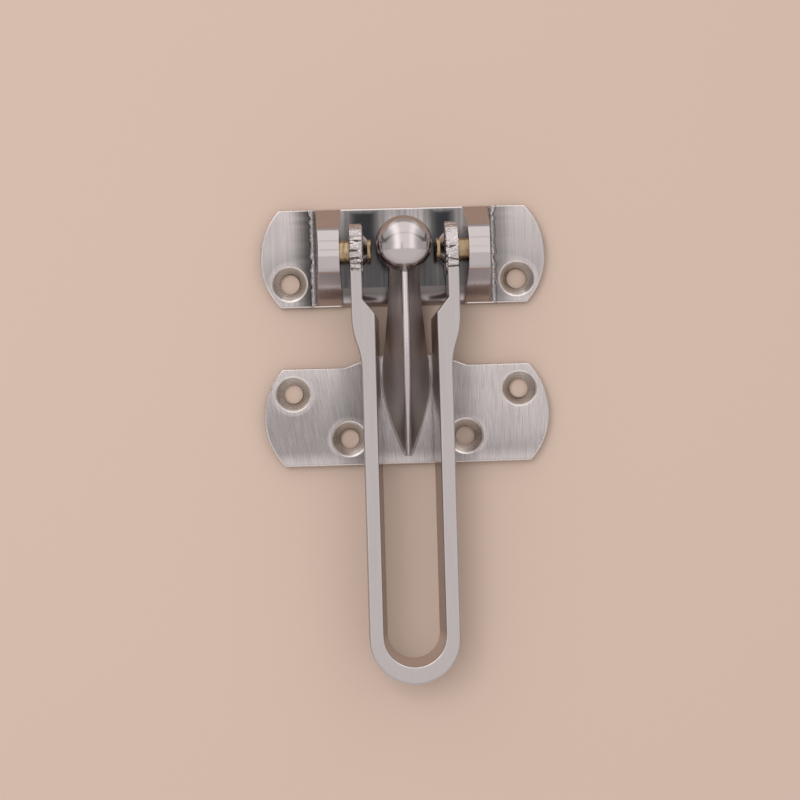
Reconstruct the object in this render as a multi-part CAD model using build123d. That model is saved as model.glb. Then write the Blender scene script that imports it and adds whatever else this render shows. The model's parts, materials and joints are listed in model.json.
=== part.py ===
from build123d import *
from math import asin, atan, cos, degrees, pi, radians, sin, sqrt, tan
import os

# Door guard lying on its back, with the bar closed over the keeper.
# +Z points out of the door, +Y points from the door towards its frame, and sizes are in millimetres.
# The origin is the centre of the frame bracket's back face.

# Plates of the bracket and the keeper
plate_length = 61.0
plate_height = 21.0
plate_thickness = 2.8
plate_end_radius = 15.3
plate_corner_round = 0.8
plate_edge_round = 0.5
keeper_drop = 33.9
keeper_crown_width = 27.2
keeper_crown_rise = 2.8
keeper_crown_hollow = 3.2

# Countersunk screw holes, placed from the ends and the middle line of their plate
bracket_hole_diameter = 4.2
keeper_hole_diameter = 4.0
countersink_diameter = 7.8
countersink_angle = 90.0
countersink_rim_round = 0.3
bracket_hole_inset = 6.2
bracket_hole_y = -5.3
keeper_outer_hole_inset = 6.3
keeper_outer_hole_y = 5.1
keeper_inner_hole_x = 12.45
keeper_inner_hole_y = -4.8

# Bosses that carry the pivot pins, and the rounded lead-in below the floor between them
boss_gap = 27.1
boss_width = 4.45
boss_radius = 5.8
boss_draft = 3.0
boss_foot_radius = 1.2
boss_edge_round = 0.2
lead_in_length = 3.7
lead_in_drop = 2.5

# Pivot pins and washers
pivot_y = 1.05
pin_diameter = 4.4
pin_seat_depth = 3.2
journal_diameter = 3.6
running_clearance = 0.05
side_clearance = 0.1
washer_diameter = 7.0
washer_small_diameter = 4.9
washer_thickness = 0.9
rivet_diameter = 4.7
rivet_length = 0.8
rivet_round = 0.3

# Swing bar
eye_radius = 5.7
eye_thickness = 2.85
eye_floor_gap = 0.4
eye_edge_round = 0.35
eye_spacing = 2.05
arm_outer_step = 0.1
arm_inner_step = 0.32
bar_depth = 9.6
bar_edge_round = 0.4
shoulder_top = 10.4
shoulder_height = 3.15
taper_top = 14.15
taper_length = 11.0
slot_front_width = 13.0
loop_arm_width = 3.0
loop_end_width = 3.6
bar_reach = 91.15

# Horn and ball of the keeper
ball_diameter = 11.8
ball_catch = 0.4
ball_y = 2.0
ball_lift = 4.9
horn_tip_margin = 1.75
horn_tip_width = 1.5
horn_tip_rise = 0.75
horn_width = 10.8
horn_neck_width = 5.8
horn_tip_rib = 0.8
horn_rib = 2.0
horn_neck_rib = 1.6
horn_hollow = 0.07
horn_neck_edge = 0.9
horn_neck_depth = 5.2
horn_crest_drop = 0.5
horn_wide_margin = 3.0
horn_ease = 1.6
horn_stations = 15

# Places that follow from the sizes above
half_height = plate_height / 2
bracket_hole_x = plate_length / 2 - bracket_hole_inset
keeper_outer_hole_x = plate_length / 2 - keeper_outer_hole_inset
boss_inner = boss_gap / 2
boss_outer = boss_inner + boss_width
eye_outer = boss_inner - eye_spacing
eye_inner = eye_outer - eye_thickness
pivot_z = plate_thickness + eye_floor_gap + eye_radius
bar_front = pivot_z + eye_radius
bar_back = bar_front - bar_depth
slot_back_width = ball_diameter - 2 * ball_catch
ball_z = pivot_z + ball_lift
keeper_top = half_height - keeper_drop


def both_sides(solid):
    """The solid and its mirror image across the middle of the guard."""
    return solid + mirror(solid, Plane.YZ)


def plate_outline():
    """Straight above and below, with round ends and softened corners."""
    corner_x = plate_length / 2 - plate_end_radius + sqrt(plate_end_radius**2 - half_height**2)
    top = Line((-corner_x, half_height), (corner_x, half_height))
    right = ThreePointArc(top @ 1, (plate_length / 2, 0), (corner_x, -half_height))
    bottom = Line(right @ 1, (-corner_x, -half_height))
    left = ThreePointArc(bottom @ 1, (-plate_length / 2, 0), top @ 0)
    outline = make_face([top, right, bottom, left])
    return fillet(outline.vertices(), plate_corner_round)


def crown_outline():
    """Low crown on the upper edge of the keeper's plate, run out to both sides by hollow arcs."""
    reach = keeper_crown_width / 2
    turn = 2 * atan(keeper_crown_rise / reach)
    foot = Vector(reach, half_height)
    shoulder = foot + Vector(-sin(turn), 1 - cos(turn)) * keeper_crown_hollow
    hollow = TangentArc(foot, shoulder, tangent=(-1, 0))
    crown = ThreePointArc(shoulder, (0, half_height + keeper_crown_rise), (-shoulder.X, shoulder.Y))
    base = Line((-foot.X, foot.Y), foot)
    return make_face([base, hollow, crown, mirror(hollow, Plane.YZ)])


def plate(outline):
    """Flat plate with a softened front edge, lying on z = 0."""
    slab = extrude(outline, plate_thickness)
    return fillet(slab.faces().sort_by(Axis.Z)[-1].edges(), plate_edge_round)


def screw_hole(x, y, diameter):
    """Countersunk hole through a plate, with a softened rim, open at both faces."""
    bore = diameter / 2
    rim = countersink_diameter / 2
    slope = radians(countersink_angle / 2)
    soft = countersink_rim_round * tan((pi / 2 - slope) / 2)
    along = Vector(sin(slope), cos(slope))
    sink_start = Vector(bore, plate_thickness - (rim - bore) / tan(slope))
    sink_end = Vector(rim, plate_thickness) - along * soft
    sink = Line(sink_start, sink_end)
    edge = TangentArc(sink_end, (rim + soft, plate_thickness), tangent=along)
    middle = Polyline(edge @ 1, (0, plate_thickness), (0, -plate_thickness))
    wall = Polyline(middle @ 1, (bore, -plate_thickness), sink_start)
    return Pos(x, y, 0) * revolve(Plane.XZ * make_face([sink, edge, middle, wall]), Axis.Z)


def turned(*steps):
    """Solid turned about the pivot axis, with a start, an end and a radius for each step."""
    axle = Location((0, pivot_y, pivot_z), (0, 90, 0))
    return Part() + [
        axle * Pos(0, 0, (start + end) / 2) * Cylinder(radius, end - start) for start, end, radius in steps
    ]


def touch(foot, side):
    """Where the line from a flank's foot touches the round of the boss, on the given side of its centre."""
    reach = Vector(pivot_y, pivot_z) - foot
    swing = side * asin(boss_radius / reach.length)
    return foot + reach.rotate(Axis.Z, degrees(swing)) * cos(swing)


def boss():
    """Boss that is round about the pivot, with straight flanks to the plate's edges and drafted walls."""
    crest = pivot_z + boss_radius
    flare = (crest - plate_thickness) * tan(radians(boss_draft))
    shoulder = plate_thickness - plate_edge_round
    upper_foot, lower_foot = Vector(half_height, shoulder), Vector(-half_height, shoulder)
    upper, lower = touch(upper_foot, -1), touch(lower_foot, 1)
    base = Polyline(lower, lower_foot, (-half_height, 0), (half_height, 0), upper_foot, upper)
    arch = make_face([base, ThreePointArc(upper, (pivot_y, crest), lower)])
    wall_foot = boss_outer + flare
    foot_end = wall_foot + boss_foot_radius
    side = make_face(
        Polyline(
            (boss_inner - flare, 0),
            (boss_inner - flare, plate_thickness),
            (boss_inner, crest),
            (boss_outer, crest),
            (wall_foot, plate_thickness),
            (foot_end, plate_thickness),
            (foot_end, 0),
            close=True,
        )
    )
    side = fillet(side.vertices().sort_by_distance((wall_foot, plate_thickness))[0], boss_foot_radius)
    body = extrude(Plane.YZ * arch, foot_end) & extrude(Plane.XZ * side, half_height, both=True)
    return fillet(body.edges().filter_by_position(Axis.Z, pivot_z, crest), boss_edge_round)


def lead_in():
    """What is cut away to round the floor's lower edge between the bosses."""
    start = Vector(lead_in_length - half_height, plate_thickness)
    end = Vector(-half_height, plate_thickness - lead_in_drop)
    arc = TangentArc(start, end, tangent=(-1, 0))
    corner = Polyline(end, (end.X, start.Y), start)
    return extrude(Plane.YZ * make_face([arc, corner]), boss_inner, both=True)


def frame_bracket():
    """Plate with two bosses, a rounded lead-in, blind pin seats and one screw hole in each tab."""
    body = plate(plate_outline()) - lead_in() + both_sides(boss())
    body -= both_sides(turned((0, boss_inner + pin_seat_depth, pin_diameter / 2)))
    return body - both_sides(screw_hole(bracket_hole_x, bracket_hole_y, bracket_hole_diameter))


def pivot_pin():
    """Right-hand stub pin: seat and shoulder, journal through the eye, riveted inner end."""
    shoulder = eye_outer + side_clearance
    washer_end = eye_inner - side_clearance - washer_thickness
    rivet_end = washer_end - rivet_length
    body = turned(
        (shoulder, boss_inner + pin_seat_depth, pin_diameter / 2),
        (washer_end, shoulder, journal_diameter / 2),
        (rivet_end, washer_end, rivet_diameter / 2),
    )
    return fillet(body.faces().sort_by(Axis.X)[0].edges(), rivet_round)


def pivot_washer():
    """Right-hand conical washer, wide at the eye and narrow at the riveted end of the pin."""
    middle = eye_inner - side_clearance - washer_thickness / 2
    cone = Cone(washer_small_diameter / 2, washer_diameter / 2, washer_thickness)
    body = Location((middle, pivot_y, pivot_z), (0, 90, 0)) * cone
    return body - turned((0, boss_inner, journal_diameter / 2))


def bar_outline():
    """Front outline of the bar from the pivot line round the closed end, without the slot."""
    upper = eye_outer - arm_outer_step
    lower = slot_front_width / 2 + loop_arm_width
    taper_y = pivot_y - taper_top
    middle = ((upper + lower) / 2, taper_y - taper_length / 2)
    arm = Line((upper, pivot_y), (upper, taper_y))
    swell = TangentArc(arm @ 1, middle, tangent=(0, -1))
    hollow = TangentArc(swell @ 1, (lower, taper_y - taper_length), tangent=swell % 1)
    end_y = pivot_y - bar_reach
    straight = Line(hollow @ 1, (lower, end_y + lower))
    quarter = TangentArc(straight @ 1, (0, end_y), tangent=(0, -1))
    half = [arm, swell, hollow, straight, quarter]
    closing = Line((-upper, pivot_y), (upper, pivot_y))
    return make_face([*half, *[mirror(edge, Plane.YZ) for edge in half], closing])


def slot_outline(width):
    """Outline of the slot at one depth: open between the arms, shouldered in, round at the closed end."""
    half = width / 2
    upper = eye_inner + arm_inner_step
    open_y = pivot_y + 2 * eye_radius
    top_y = pivot_y - shoulder_top
    front_half = slot_front_width / 2
    shoulder_y = top_y - shoulder_height * (upper - half) / (upper - front_half)
    round_y = pivot_y - bar_reach + loop_end_width + front_half
    side = Polyline((upper, open_y), (upper, top_y), (half, shoulder_y), (half, round_y))
    end = ThreePointArc((half, round_y), (0, round_y - half), (-half, round_y))
    closing = Line((-upper, open_y), (upper, open_y))
    return make_face([side, end, mirror(side, Plane.YZ), closing])


def swing_bar():
    """U-shaped bar with a drafted slot, two arms and two round eyes."""
    blank = extrude(Pos(0, 0, bar_back) * bar_outline(), bar_depth)
    slot = loft([Pos(0, 0, bar_back) * slot_outline(slot_back_width),
                 Pos(0, 0, bar_front) * slot_outline(slot_front_width)])
    body = blank - slot
    flats = body.faces().filter_by(Axis.Z)
    body = fillet(flats.edges().filter_by(Axis.X, reverse=True), bar_edge_round)
    eye = turned((eye_inner, eye_outer, eye_radius))
    eye = fillet(eye.edges().filter_by(GeomType.CIRCLE), eye_edge_round)
    body += both_sides(eye)
    bore = journal_diameter / 2 + running_clearance
    return body - both_sides(turned((0, boss_inner, bore)))


def horn_section(y, width, back, foot, crest, rib):
    """Outline across the horn: flat back, low upright edges, hollow flanks and a rounded rib."""
    corner = Vector(width / 2, back)
    flank_foot = Vector(width / 2, foot)
    flank_top = Vector(rib / 2, crest - rib / 2)
    chord = flank_top - flank_foot
    hollow = (flank_foot + flank_top) / 2 + Vector(-chord.Y, chord.X) * horn_hollow
    edge = Line(corner, flank_foot)
    flank = ThreePointArc(flank_foot, hollow, flank_top)
    ridge = ThreePointArc(flank_top, (0, crest), (-flank_top.X, flank_top.Y))
    base = Line((-corner.X, corner.Y), corner)
    outline = make_face([base, edge, flank, ridge, mirror(flank, Plane.YZ), mirror(edge, Plane.YZ)])
    return Plane.XZ.offset(-y) * outline


def ease(share):
    """Quick start and level finish, from 0 to 1."""
    return 1 - (1 - min(max(share, 0), 1)) ** horn_ease


def horn():
    """Tapered horn that rises from its rounded tip on the plate, over the plate's edge, into the ball."""
    tip_y = keeper_top - plate_height + horn_tip_margin
    wide_y = keeper_top - horn_wide_margin
    level_y = keeper_top / 2
    tip_crest = plate_thickness + horn_tip_rise
    full_crest = bar_front - horn_crest_drop
    neck_back = full_crest - horn_neck_depth
    buried = -horn_neck_edge
    sections = []
    for station in range(horn_stations + 1):
        y = tip_y + (ball_y - tip_y) * station / horn_stations
        swell = ease((y - tip_y) / (wide_y - tip_y))
        thin = ease((y - wide_y) / (ball_y - wide_y))
        climb = ease((y - tip_y) / (level_y - tip_y))
        lift = ease((y - keeper_top) / (ball_y - keeper_top))
        width = horn_tip_width + (horn_width - horn_tip_width) * swell
        width -= (horn_width - horn_neck_width) * thin
        rib = horn_tip_rib + (horn_rib - horn_tip_rib) * swell - (horn_rib - horn_neck_rib) * thin
        back = buried + (neck_back - buried) * lift
        foot = plate_thickness + (neck_back + horn_neck_edge - plate_thickness) * lift
        crest = tip_crest + (full_crest - tip_crest) * climb
        sections.append(horn_section(y, width, back, foot, crest, rib))
    return split(loft(sections), bisect_by=Plane.XY, keep=Keep.TOP)


def door_keeper():
    """Crowned plate with four screw holes, the horn and its ball."""
    outer = screw_hole(keeper_outer_hole_x, keeper_outer_hole_y, keeper_hole_diameter)
    inner = screw_hole(keeper_inner_hole_x, keeper_inner_hole_y, keeper_hole_diameter)
    body = plate(plate_outline() + crown_outline()) - both_sides(outer + inner)
    ball = Pos(0, ball_y, ball_z) * Sphere(ball_diameter / 2)
    return Pos(0, -keeper_drop, 0) * body + horn() + ball


nodes = {
    "frame_bracket": frame_bracket(),
    "swing_bar": swing_bar(),
    "pivot_pin_right": pivot_pin(),
    "pivot_pin_left": mirror(pivot_pin(), Plane.YZ),
    "pivot_washer_right": pivot_washer(),
    "pivot_washer_left": mirror(pivot_washer(), Plane.YZ),
    "door_keeper": door_keeper(),
}

os.makedirs("parts", exist_ok=True)
for name, solid in nodes.items():
    export_step(solid, f"parts/{name}.step")
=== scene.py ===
import json
from math import radians

import bpy
from mathutils import Euler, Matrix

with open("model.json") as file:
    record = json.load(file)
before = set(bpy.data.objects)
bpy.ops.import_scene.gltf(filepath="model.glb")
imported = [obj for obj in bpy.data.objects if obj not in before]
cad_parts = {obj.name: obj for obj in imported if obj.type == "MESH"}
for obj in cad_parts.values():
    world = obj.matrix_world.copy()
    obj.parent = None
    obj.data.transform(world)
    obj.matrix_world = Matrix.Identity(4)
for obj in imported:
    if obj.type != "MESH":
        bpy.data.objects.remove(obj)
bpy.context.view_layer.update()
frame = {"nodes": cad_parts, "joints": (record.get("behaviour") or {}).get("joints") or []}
nodes = frame["nodes"]

# Lengths in the materials are in millimetres, in the frame's own axes.
millimetres = 1000
pivot = tuple(millimetres * place for place in frame["joints"][0]["pos_m"])
plate_face = 2.8
plate_half_height = 10.5
bracket_middle_y = 0.0
keeper_middle_y = -33.9
boss_foot_inner = 12.9
boss_outer = 18.15
foot_band_outer = 19.7
eye_radius = 5.7
rim_end_y = -3.4
lead_in_y = -6.4
bar_front = 14.6
bar_back = 5.0
slot_half_width = 7.2
slot_end_y = -16.0
loop_centre_y = -80.0
ball_centre = (0.0, 2.0, 13.8)
ball_radius = 5.9
rib_half_width = 0.75
horn_foot_y = -38.0
countersink_radius = 3.9
bracket_hole = (24.3, -5.3)
keeper_holes = ((24.2, -28.8), (12.45, -38.7))

# Colours, as linear shares of the light that is reflected
nickel = (0.600, 0.546, 0.542)
# Painted highlight colour for lit edges, glints on the rims, the flanks beside the horn's rib and
# the loop's inner bend
nickel_highlight = (0.950, 0.890, 0.875)
# Painted shade colour for the horn's flanks and, darkened further, the grooves of the eye rims
nickel_shade = (0.245, 0.192, 0.160)
# Countersink colour, warmer by a painted reflection
nickel_sunk_reflection = (0.510, 0.450, 0.410)
# Painted shade colour for the lead-in below the floor
lead_in_shade = (0.165, 0.148, 0.145)
# Dark of the painted reflection on the floor between the bosses
recess_painted_dark = (0.050, 0.050, 0.054)
black = (0.0, 0.0, 0.0)
brass = (0.560, 0.420, 0.260)
brass_dark = (0.340, 0.240, 0.140)
floor_colour = (0.520, 0.398, 0.332)
# Darker than the floor: painted shade in what the metal mirrors
board_shade_colour = (0.385, 0.282, 0.225)

# Edges of the sheets below the guard, as left, right, bottom and top, and their depths, in metres
floor_edges = (-1.5, 1.5, -1.5, 1.5)
floor_drop = 0.00005
board_edges = (-0.0394, 0.0377, -0.095, 0.0415)
board_drop = 0.00004


def shaded(colour, share):
    return tuple(share * part for part in colour)


class Graph:
    """Shader nodes that are added and linked by short calls."""

    def __init__(self, tree):
        self.tree = tree

    def add(self, kind, *values, **settings):
        node = self.tree.nodes.new(kind)
        for setting, value in settings.items():
            setattr(node, setting, value)
        for socket, value in zip(node.inputs, values):
            self.join(value, socket)
        return node

    def join(self, value, socket):
        if isinstance(value, bpy.types.NodeSocket):
            self.tree.links.new(value, socket)
        else:
            socket.default_value = value

    def parts(self, vector):
        return self.add("ShaderNodeSeparateXYZ", vector).outputs

    def point(self, x, y, z):
        return self.add("ShaderNodeCombineXYZ", x, y, z).outputs[0]

    def math(self, operation, *values):
        return self.add("ShaderNodeMath", *values, operation=operation).outputs[0]

    def vector(self, operation, first, second):
        node = self.add("ShaderNodeVectorMath", first, operation=operation)
        self.join(second, node.inputs["Scale" if operation == "SCALE" else 1])
        return node.outputs["Value" if operation == "DISTANCE" else "Vector"]

    def chain(self, operation, values):
        result = values[0]
        for value in values[1:]:
            result = self.math(operation, result, value)
        return result

    def total(self, *values):
        return self.chain("ADD", values)

    def product(self, *values):
        return self.chain("MULTIPLY", values)

    def highest(self, *values):
        return self.chain("MAXIMUM", values)

    def length(self, *sides):
        return self.math("SQRT", self.total(*(self.product(side, side) for side in sides)))

    def rest(self, value):
        return self.math("SUBTRACT", 1.0, value)

    def rise(self, value, low, high, start=0.0, end=1.0):
        """Smooth step from start at low to end at high."""
        node = self.add("ShaderNodeMapRange", interpolation_type="SMOOTHSTEP")
        for socket, number in zip(node.inputs, (value, low, high, start, end)):
            self.join(number, socket)
        return node.outputs[0]

    def fall(self, value, low, high):
        """Smooth step from one at low to nought at high."""
        return self.rise(value, low, high, 1.0, 0.0)

    def near(self, value, middle, reach, soft):
        """One within reach of the middle, falling to nought over the soft width."""
        away = self.math("ABSOLUTE", self.math("SUBTRACT", value, middle))
        return self.fall(away, reach, reach + soft)

    def mix(self, factor, first, second):
        node = self.add("ShaderNodeMix", data_type="FLOAT")
        for index, value in ((0, factor), (2, first), (3, second)):
            self.join(value, node.inputs[index])
        return node.outputs[0]

    def tint(self, factor, first, second):
        node = self.add("ShaderNodeMix", data_type="RGBA")
        for index, value in ((0, factor), (6, first), (7, second)):
            self.join((*value, 1.0) if isinstance(value, tuple) else value, node.inputs[index])
        return node.outputs[2]


class Metal(Graph):
    """A metal whose colour, roughness and relief depend on the place on the part."""

    def __init__(self, name):
        self.material = bpy.data.materials.new(name)
        self.material.use_nodes = True
        super().__init__(self.material.node_tree)
        place = self.add("ShaderNodeTexCoord").outputs["Object"]
        self.place = self.vector("SCALE", place, millimetres)
        self.x, self.y, self.z = self.parts(self.place)
        self.side = self.math("ABSOLUTE", self.x)

    def noise(self, stretch, detail=3.0, rough=0.55, path=None):
        node = self.add("ShaderNodeTexNoise")
        place = self.place if path is None else path
        self.join(self.vector("MULTIPLY", place, stretch), node.inputs["Vector"])
        for name, value in (("Scale", 1.0), ("Detail", detail), ("Roughness", rough)):
            node.inputs[name].default_value = value
        return node.outputs[0]

    def wave(self, stretch, size, **more):
        """Noise that swings by about the given size to both sides of nought."""
        return self.math("MULTIPLY_ADD", self.noise(stretch, **more), 2 * size, -size)

    def finish(self, colour, roughness, height):
        shader = self.tree.nodes["Principled BSDF"]
        bump = self.add("ShaderNodeBump")
        bump.inputs["Distance"].default_value = 1 / millimetres
        self.join(height, bump.inputs["Height"])
        shader.inputs["Metallic"].default_value = 1.0
        self.join(colour, shader.inputs["Base Color"])
        self.join(roughness, shader.inputs["Roughness"])
        self.join(bump.outputs[0], shader.inputs["Normal"])
        return self.material


def brushing(g, lean, run, fine, broad):
    """Height and shade of brush strokes along Y that lean over, fine ones and broad bands."""
    path = g.point(g.total(g.x, g.product(g.y, lean)), g.y, g.z)
    scratches = g.wave((13.0, 0.12 * run, 1.0), fine, detail=2.0, path=path)
    strokes = g.wave((3.5, 0.07 * run, 1.0), fine, detail=2.0, path=path)
    sweep = g.wave((1.1, 0.05 * run, 1.0), broad, detail=2.0, path=path)
    warp = g.wave((0.05, 0.06, 0.05), 0.35, detail=1.0)
    bands = g.noise((4.0, 0.05 * run, 1.0), detail=4.0, rough=0.6, path=path)
    return g.total(scratches, strokes, sweep, warp), g.rise(bands, 0.32, 0.68)


def pillow(g, middle_y, tilt, *holes):
    """Height of a slightly crowned plate, its polish with painted shade and painted highlights,
    and where its countersinks are.
    """
    crown_across, crown_along = -0.0060, -0.0012
    shaded_end, lit_end, edge_painted_light, rim_share = 0.60, 0.92, 0.97, 0.7
    ring_turn, ring_height = 14.0, 0.004
    across = g.math("SUBTRACT", g.y, middle_y)
    crown = g.total(g.product(across, across, crown_across), g.product(g.x, g.x, crown_along))
    cloud = g.wave((0.09, 0.11, 0.1), 6.0, detail=1.0)
    # Painted shade: darker towards the bottom and, by the tilt, to the left, with random patches
    slope = g.total(across, g.product(g.x, tilt), cloud)
    polish_and_painted_light = g.rise(slope, -9.0, 9.0, shaded_end, lit_end)
    # Painted highlights along the top and bottom edges and round the countersinks
    edge = g.rise(g.math("ABSOLUTE", across), plate_half_height - 3.4, plate_half_height - 0.6)
    folded = g.point(g.side, g.y, plate_face)
    sunk = g.fall(g.z, plate_face - 0.35, plate_face - 0.25)
    cone = 0.0
    for hole in holes:
        away = g.vector("DISTANCE", folded, (*hole, plate_face))
        rim = g.product(g.near(away, countersink_radius + 0.3, 0.1, 0.7), rim_share)
        edge = g.highest(edge, rim)
        cone = g.highest(cone, g.product(sunk, g.near(away, 0.0, countersink_radius, 0.1)))
        rings = g.math("SINE", g.product(away, ring_turn))
        crown = g.total(crown, g.product(cone, rings, ring_height))
    return crown, g.mix(edge, polish_and_painted_light, edge_painted_light), cone


def brushed(g, polish_and_painted_light, shade, darkest):
    """Colour of a brushed plate, scaled by its polish and painted light."""
    return g.tint(polish_and_painted_light, black, g.tint(shade, shaded(nickel, darkest), nickel))


def painted_edge_highlight(g):
    """One on the rounded edges of the plate's face, where a highlight is painted."""
    return g.near(g.z, plate_face - 0.20, 0.12, 0.08)


def machined(g, cone, lip, colour, roughness):
    """Colour and roughness with turned countersinks, whose warmer tone is painted reflection, and
    painted highlights on the rounded edges.
    """
    cone_rough = 0.18
    # The countersinks take a warmer tone that is painted reflection
    colour = g.tint(cone, colour, nickel_sunk_reflection)
    return g.tint(lip, colour, nickel_highlight), g.mix(cone, roughness, cone_rough)


def recess_painted_reflection(g):
    """Painted reflection on the floor between the bosses: streaked, with a bright middle and a
    haze.
    """
    upper_share, foot_share = 0.45, 0.60
    streak = g.rise(g.noise((1.6, 0.05, 0.3), detail=3.0), 0.25, 0.75)
    stripe = g.near(g.x, 0.4, 3.2, 4.2)
    upper = g.product(g.rise(g.y, 9.0, 10.0), upper_share)
    foot = g.rise(g.side, 9.5, boss_foot_inner, 0.0, foot_share)
    glow = g.product(
        g.highest(stripe, upper, foot), g.rise(g.y, 1.0, 7.0), g.mix(streak, 0.62, 1.0)
    )
    haze = g.product(g.fall(g.y, -4.0, 5.0), g.mix(streak, 0.085, 0.17))
    return g.highest(haze, glow)


def bracket_metal():
    g = Metal("bracket_nickel")
    strokes, shade = brushing(g, lean=0.0, run=1.0, fine=0.0050, broad=0.0120)
    crown, polish_and_painted_light, cone = pillow(g, bracket_middle_y, 0.04, bracket_hole)

    # Places: the brushed tabs, the cast strips beside the bosses, the floor and its lead-in
    edge = g.total(g.side, g.wave((0.0, 0.55, 0.0), 0.9, detail=1.0))
    tab = g.rise(edge, foot_band_outer - 0.05, foot_band_outer + 0.05)
    cast = g.product(g.rise(g.side, boss_outer, boss_outer + 0.05), g.rest(tab))
    middle = g.product(
        g.near(g.side, 0.0, boss_foot_inner, 0.1),
        g.fall(g.z, plate_face + 0.02, plate_face + 0.1),
        g.fall(g.y, plate_half_height - 0.5, plate_half_height - 0.4),
    )
    mouth = g.product(g.fall(g.y, lead_in_y - 0.1, lead_in_y), middle)

    # Relief
    grain = g.wave((2.2, 2.2, 2.2), 0.04, detail=4.0, rough=0.7)
    draw_marks = g.wave((0.9, 0.06, 0.3), 0.004, detail=2.0)
    ripple = g.total(draw_marks, g.wave((0.16, 0.10, 0.3), 0.06, detail=1.0))
    ridge_height = 0.14
    height = g.total(
        g.product(tab, g.total(strokes, crown)),
        g.product(cast, grain),
        g.product(middle, ripple),
        g.product(g.near(edge, foot_band_outer, 0.05, 0.35), ridge_height),
    )

    # Roughness
    boss_rough, floor_rough, cast_rough = 0.12, 0.10, 0.24
    tab_rough = g.mix(shade, 0.24, 0.30)
    roughness = g.mix(tab, g.mix(middle, boss_rough, floor_rough), tab_rough)
    roughness = g.mix(g.highest(cast, mouth), roughness, cast_rough)

    # Colour
    shadow = g.product(
        tab,
        g.fall(edge, foot_band_outer + 0.1, foot_band_outer + 4.8),
        g.rise(g.x, -boss_outer, boss_outer, 0.95, 0.62),
    )
    # Painted shade on the lead-in, darkest where it leaves the floor
    lead_in = g.tint(g.rise(g.y, lead_in_y - 3.2, lead_in_y - 1.2), nickel, lead_in_shade)
    speckle = g.rise(g.noise((5.0, 4.0, 5.0), detail=3.0), 0.40, 0.62, 0.70, 0.0)
    colour = g.tint(tab, nickel, brushed(g, polish_and_painted_light, shade, 0.84))
    colour = g.tint(shadow, colour, shaded(nickel, 0.10))
    # Painted reflection on the recessed floor, dark with a bright middle
    colour = g.tint(middle, colour, g.tint(recess_painted_reflection(g), recess_painted_dark, nickel))
    colour = g.tint(mouth, colour, lead_in)
    colour = g.tint(g.product(cast, speckle), colour, shaded(nickel, 0.25))
    # Painted highlight along the rounded edges, except at the lead-in
    lip = g.product(painted_edge_highlight(g), g.rest(mouth))
    return g.finish(*machined(g, cone, lip, colour, roughness), height)


def keeper_metal():
    g = Metal("keeper_nickel")
    lean = g.math("MULTIPLY_ADD", g.x, -0.006, 0.10)
    strokes, shade = brushing(g, lean, run=4.0, fine=0.0110, broad=0.0080)
    crown, polish_and_painted_light, cone = pillow(g, keeper_middle_y, 0.25, *keeper_holes)
    # Painted shade on the plate beside the bar's arms
    arm_shade = g.math("MULTIPLY_ADD", g.near(g.side, 10.5, 0.5, 6.0), -0.40, 1.0)
    polish_and_painted_light = g.product(polish_and_painted_light, arm_shade)

    # Places: the plate, the horn with its rib and flanks, and the ball with its back half
    ball_away = g.vector("DISTANCE", g.place, ball_centre)
    ball = g.fall(ball_away, ball_radius, ball_radius + 0.15)
    raised = g.rise(g.z, plate_face + 0.02, plate_face + 0.10)
    plate = g.rest(raised)
    horn = g.product(raised, g.rest(ball))
    rib = g.product(horn, g.fall(g.side, rib_half_width, rib_half_width + 0.15))
    back = g.product(ball, g.fall(g.z, ball_centre[2] + 1.0, ball_centre[2] + 3.2))
    flank = g.product(horn, g.rest(rib), g.rise(g.z, plate_face + 0.25, plate_face + 0.40))
    beside = g.product(
        flank,
        g.near(g.side, rib_half_width, 0.5, 2.2),
        g.rise(g.y, horn_foot_y, horn_foot_y + 8.0),
        g.rise(g.x, -rib_half_width, rib_half_width, 1.0, 0.65),
    )
    outer = g.rise(g.side, 1.2, 4.5, 0.0, 0.88)
    along = g.rise(g.y, horn_foot_y, horn_foot_y + 12.0, 0.9, 0.3)
    flank = g.product(flank, g.highest(outer, along))

    # Relief
    height = g.total(
        g.product(plate, g.total(strokes, crown)),
        g.product(horn, g.wave((2.4, 0.15, 1.2), 0.004, detail=3.0)),
        g.product(ball, g.wave((4.0, 4.0, 4.0), 0.0006, detail=3.0)),
    )

    # Roughness
    flank_rough, rib_rough, ball_rough = 0.42, 0.24, 0.14
    raised_rough = g.mix(ball, g.mix(rib, flank_rough, rib_rough), ball_rough)
    roughness = g.mix(plate, raised_rough, g.mix(shade, 0.26, 0.34))

    # Colour
    colour = g.tint(plate, nickel, brushed(g, polish_and_painted_light, shade, 0.76))
    # Painted shade on the horn's flanks, deeper away from the rib and towards the horn's foot
    colour = g.tint(flank, colour, nickel_shade)
    # Painted highlight on the flanks beside the rib, stronger on the left and fading towards the
    # horn's foot
    colour = g.tint(beside, colour, nickel_highlight)
    # Painted shade on the back half of the ball
    colour = g.tint(back, colour, shaded(nickel, 0.55))
    return g.finish(*machined(g, cone, painted_edge_highlight(g), colour, roughness), height)


def hammering(g):
    """Height of the hammered rims of the eyes, flatter towards their tops."""
    lumps = g.wave((0.8, 0.9, 0.9), 0.36, detail=2.0, rough=0.5)
    grooves = g.rise(g.noise((0.22, 1.25, 1.25), detail=1.0), 0.39, 0.46, -0.30, 0.0)
    dents = g.wave((2.0, 2.2, 2.2), 0.10, detail=2.0)
    lower = g.rise(g.y, 2.5, 5.0, 1.0, 0.35)
    return g.total(*(g.product(lower, form) for form in (lumps, grooves, dents)))


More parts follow.
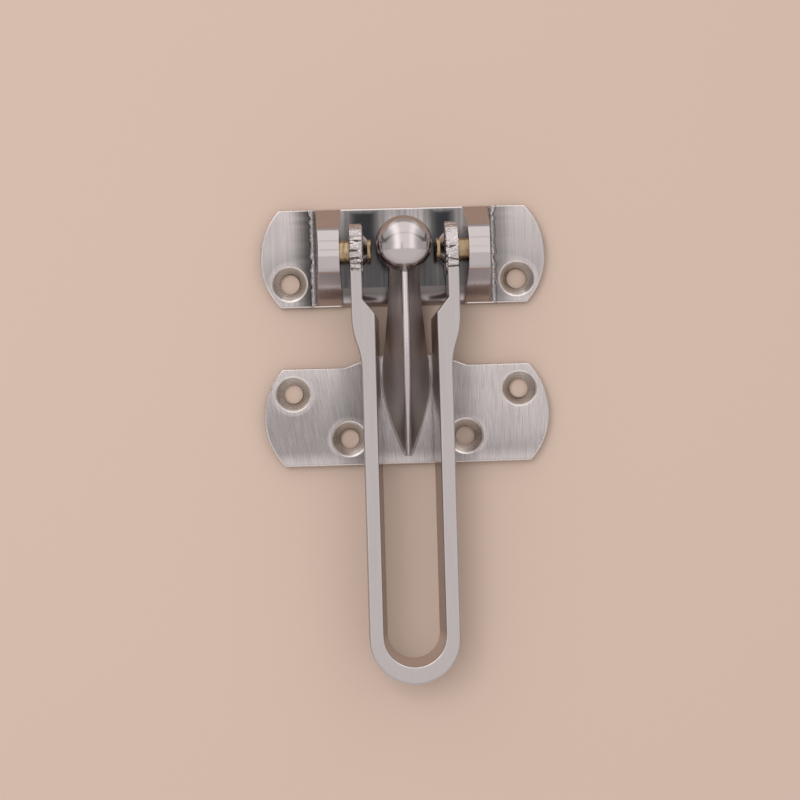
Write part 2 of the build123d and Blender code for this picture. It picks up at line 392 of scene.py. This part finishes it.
def bar_metal():
    g = Metal("bar_nickel")

    # Places: the rims of the eyes, the front face, the slot's straight walls and its bend
    offset = g.parts(g.vector("SUBTRACT", g.place, pivot))
    rim = g.product(
        g.rise(g.length(offset[1], offset[2]), eye_radius - 0.55, eye_radius - 0.35),
        g.rise(g.y, rim_end_y - 0.3, rim_end_y + 0.3),
    )
    front = g.rise(g.z, bar_front - 0.12, bar_front - 0.02)
    wall = g.product(g.rise(g.z, bar_back + 0.4, bar_back + 0.5), g.rest(front))
    inner = g.product(
        wall,
        g.near(g.side, 0.0, slot_half_width, 0.2),
        g.fall(g.y, slot_end_y - 4.0, slot_end_y),
        g.rise(g.y, loop_centre_y - 1.0, loop_centre_y + 1.0),
    )
    loop_away = g.vector("DISTANCE", g.point(g.x, g.y, 0.0), (0.0, loop_centre_y, 0.0))
    bend = g.product(
        wall,
        g.fall(loop_away, slot_half_width, slot_half_width + 0.2),
        g.fall(g.y, loop_centre_y - 2.0, loop_centre_y + 1.0),
    )

    # Relief
    relief = hammering(g)
    grain = g.wave((7.0, 0.9, 3.0), 0.0016, detail=3.0)
    height = g.total(g.product(rim, relief), g.product(g.rest(rim), grain))

    # Roughness
    wall_rough, rim_rough = 0.20, 0.14
    shade = g.rise(g.noise((3.5, 0.10, 0.5), detail=4.0), 0.3, 0.7)
    roughness = g.mix(rim, g.mix(front, wall_rough, g.mix(shade, 0.33, 0.37)), rim_rough)

    # Colour
    # Painted shade in the grooves of the hammered rims
    deep = g.product(rim, g.fall(relief, -0.34, -0.12))
    glints = g.rise(g.noise((2.6, 3.2, 3.2), detail=2.0), 0.55, 0.65, 0.0, 0.6)
    face = g.tint(shade, shaded(nickel, 0.78), shaded(nickel, 0.82))
    colour = g.tint(front, nickel, face)
    colour = g.tint(g.product(rim, glints), colour, nickel_highlight)
    colour = g.tint(deep, colour, shaded(nickel_shade, 0.35))
    # Painted shade on the slot's straight inner walls
    colour = g.tint(inner, colour, shaded(nickel, 0.80))
    # Painted highlight on the inner walls of the loop's bend
    return g.finish(g.tint(bend, colour, nickel_highlight), roughness, height)


def turned(g, turns, size):
    """Height of tool marks on pieces turned about the pivot's axis, which runs along X."""
    return g.wave((turns, 0.15, 0.15), size, detail=2.0)


def pin_metal():
    g = Metal("pin_brass")
    right_darkening = 0.6
    stain = g.rise(g.noise((2.6, 0.5, 0.5), detail=4.0), 0.36, 0.66)
    # The right pin is darker and rougher than the left
    stain = g.highest(stain, g.rise(g.x, -1.0, 1.0, 0.0, right_darkening))
    roughness = g.mix(stain, 0.15, 0.26)
    return g.finish(g.tint(stain, brass, brass_dark), roughness, turned(g, 6.0, 0.012))


def washer_metal():
    g = Metal("washer_nickel")
    stain = g.rise(g.noise((1.6, 1.6, 1.6), detail=4.0), 0.35, 0.70)
    colour = g.tint(stain, nickel, shaded(nickel, 0.72))
    return g.finish(colour, g.mix(stain, 0.16, 0.28), turned(g, 7.0, 0.008))


def dress(material, *names):
    for name in names:
        nodes[name].data.materials.clear()
        nodes[name].data.materials.append(material)


dress(bracket_metal(), "frame_bracket")
dress(keeper_metal(), "door_keeper")
dress(bar_metal(), "swing_bar")
dress(pin_metal(), "pivot_pin_left", "pivot_pin_right")
dress(washer_metal(), "pivot_washer_left", "pivot_washer_right")


def sheet(name, edges, drop, colour):
    """Flat, matt sheet of paper below the guard."""
    left, right, bottom, top = edges
    corners = [(left, bottom), (right, bottom), (right, top), (left, top)]
    mesh = bpy.data.meshes.new(name)
    mesh.from_pydata([(x, y, -drop) for x, y in corners], [], [(0, 1, 2, 3)])
    paper = bpy.data.materials.new(name)
    paper.use_nodes = True
    shader = paper.node_tree.nodes["Principled BSDF"]
    shader.inputs["Base Color"].default_value = (*colour, 1.0)
    shader.inputs["Roughness"].default_value = 0.9
    shader.inputs["Specular IOR Level"].default_value = 0.1
    mesh.materials.append(paper)
    item = bpy.data.objects.new(name, mesh)
    bpy.context.scene.collection.objects.link(item)
    return item


# The floor shows itself, and the smaller board is what the metal mirrors in its place; the board
# is darker than the floor, as painted shade in those reflections.
floor = sheet("floor", floor_edges, floor_drop, floor_colour)
floor.visible_glossy = False
board = sheet("board", board_edges, board_drop, board_shade_colour)
board.visible_camera = False
board.visible_diffuse = False
board.visible_shadow = False


def light_tent():
    """White cloth tent with two lamps behind its upper panels, a gap in the cloth and the lens."""
    cloth_level, gap_level, lens_level = 1.03, 0.70, 0.60
    hem_lean, hem_shade, seam_shade = 0.43, 0.22, 0.35
    left_strength, right_strength = 0.50, 0.32
    lens_direction = (0.02, 0.05, 0.0)
    tent_colour = (1.0, 0.985, 0.975, 1.0)
    world = bpy.data.worlds.new("light_tent")
    world.use_nodes = True
    g = Graph(world.node_tree)
    x, y, z = g.parts(g.add("ShaderNodeTexCoord").outputs["Generated"])

    # Upper panels, on the +Y side of a hem that bends towards -Y overhead
    lift = g.math("SQRT", g.math("MULTIPLY_ADD", z, 0.5, 0.5))
    over_hem = g.total(y, g.product(lift, hem_lean))
    left_lamp = g.product(g.near(x, -0.47, 0.0, 0.30), left_strength)
    right_lamp = g.product(g.near(x, 0.50, 0.0, 0.26), right_strength)
    bow = g.math("SQRT", g.total(g.product(y, y), g.product(x, x, 0.42)))
    seam = g.product(g.near(bow, 0.66, 0.012, 0.02), g.rise(y, 0.0, 0.1), seam_shade)
    far = g.rise(g.math("ABSOLUTE", x), 0.55, 0.95, 0.0, 0.50)
    low = g.highest(g.rise(z, -0.16, -0.06, 0.58, 0.0), far)
    lit = g.total(cloth_level, left_lamp, right_lamp)
    cloth = g.math("SUBTRACT", lit, g.total(seam, low))
    gap = g.product(g.near(x, -0.17, 0.03, 0.08), g.fall(y, -0.12, 0.06))
    cloth = g.mix(gap, cloth, gap_level)

    # Lower panels, hem and lens
    lower = g.rise(z, -0.3, 0.4, 0.62, 0.77)
    hem = g.product(g.near(over_hem, 0.0, 0.006, 0.012), hem_shade)
    light = g.math("SUBTRACT", g.mix(g.rise(over_hem, -0.01, 0.01), lower, cloth), hem)
    lens_away = g.vector("DISTANCE", g.point(x, y, 0.0), lens_direction)
    lens = g.product(g.fall(lens_away, 0.03, 0.06), g.rise(z, 0.0, 0.1))
    light = g.mix(lens, light, lens_level)

    background = world.node_tree.nodes["Background"]
    background.inputs["Color"].default_value = tent_colour
    g.join(light, background.inputs["Strength"])
    return world


def key_light():
    """Soft lamp at the upper left that only shades the floor."""
    data = bpy.data.lights.new("key", "AREA")
    data.energy = 1.30
    data.size = 0.30
    lamp = bpy.data.objects.new("key", data)
    lamp.location = (-0.16, 0.08, 0.60)
    lamp.rotation_euler = (-lamp.location).to_track_quat("-Z", "Y").to_euler()
    lamp.visible_glossy = False
    bpy.context.scene.collection.objects.link(lamp)


key_light()
bpy.context.scene.world = light_tent()
bpy.context.scene.view_settings.view_transform = "Standard"

# Camera at the photograph's viewing angle
camera_turn = (-0.055, -1.577, -1.63)
camera_data = bpy.data.cameras.new("camera")
camera_data.lens = 96.6
camera_data.sensor_width = 36.0
camera = bpy.data.objects.new("camera", camera_data)
camera.location = (-0.01407, -0.02988, 0.46174)
camera.rotation_euler = Euler([radians(turn) for turn in camera_turn], "XYZ")
bpy.context.scene.collection.objects.link(camera)
bpy.context.scene.camera = camera
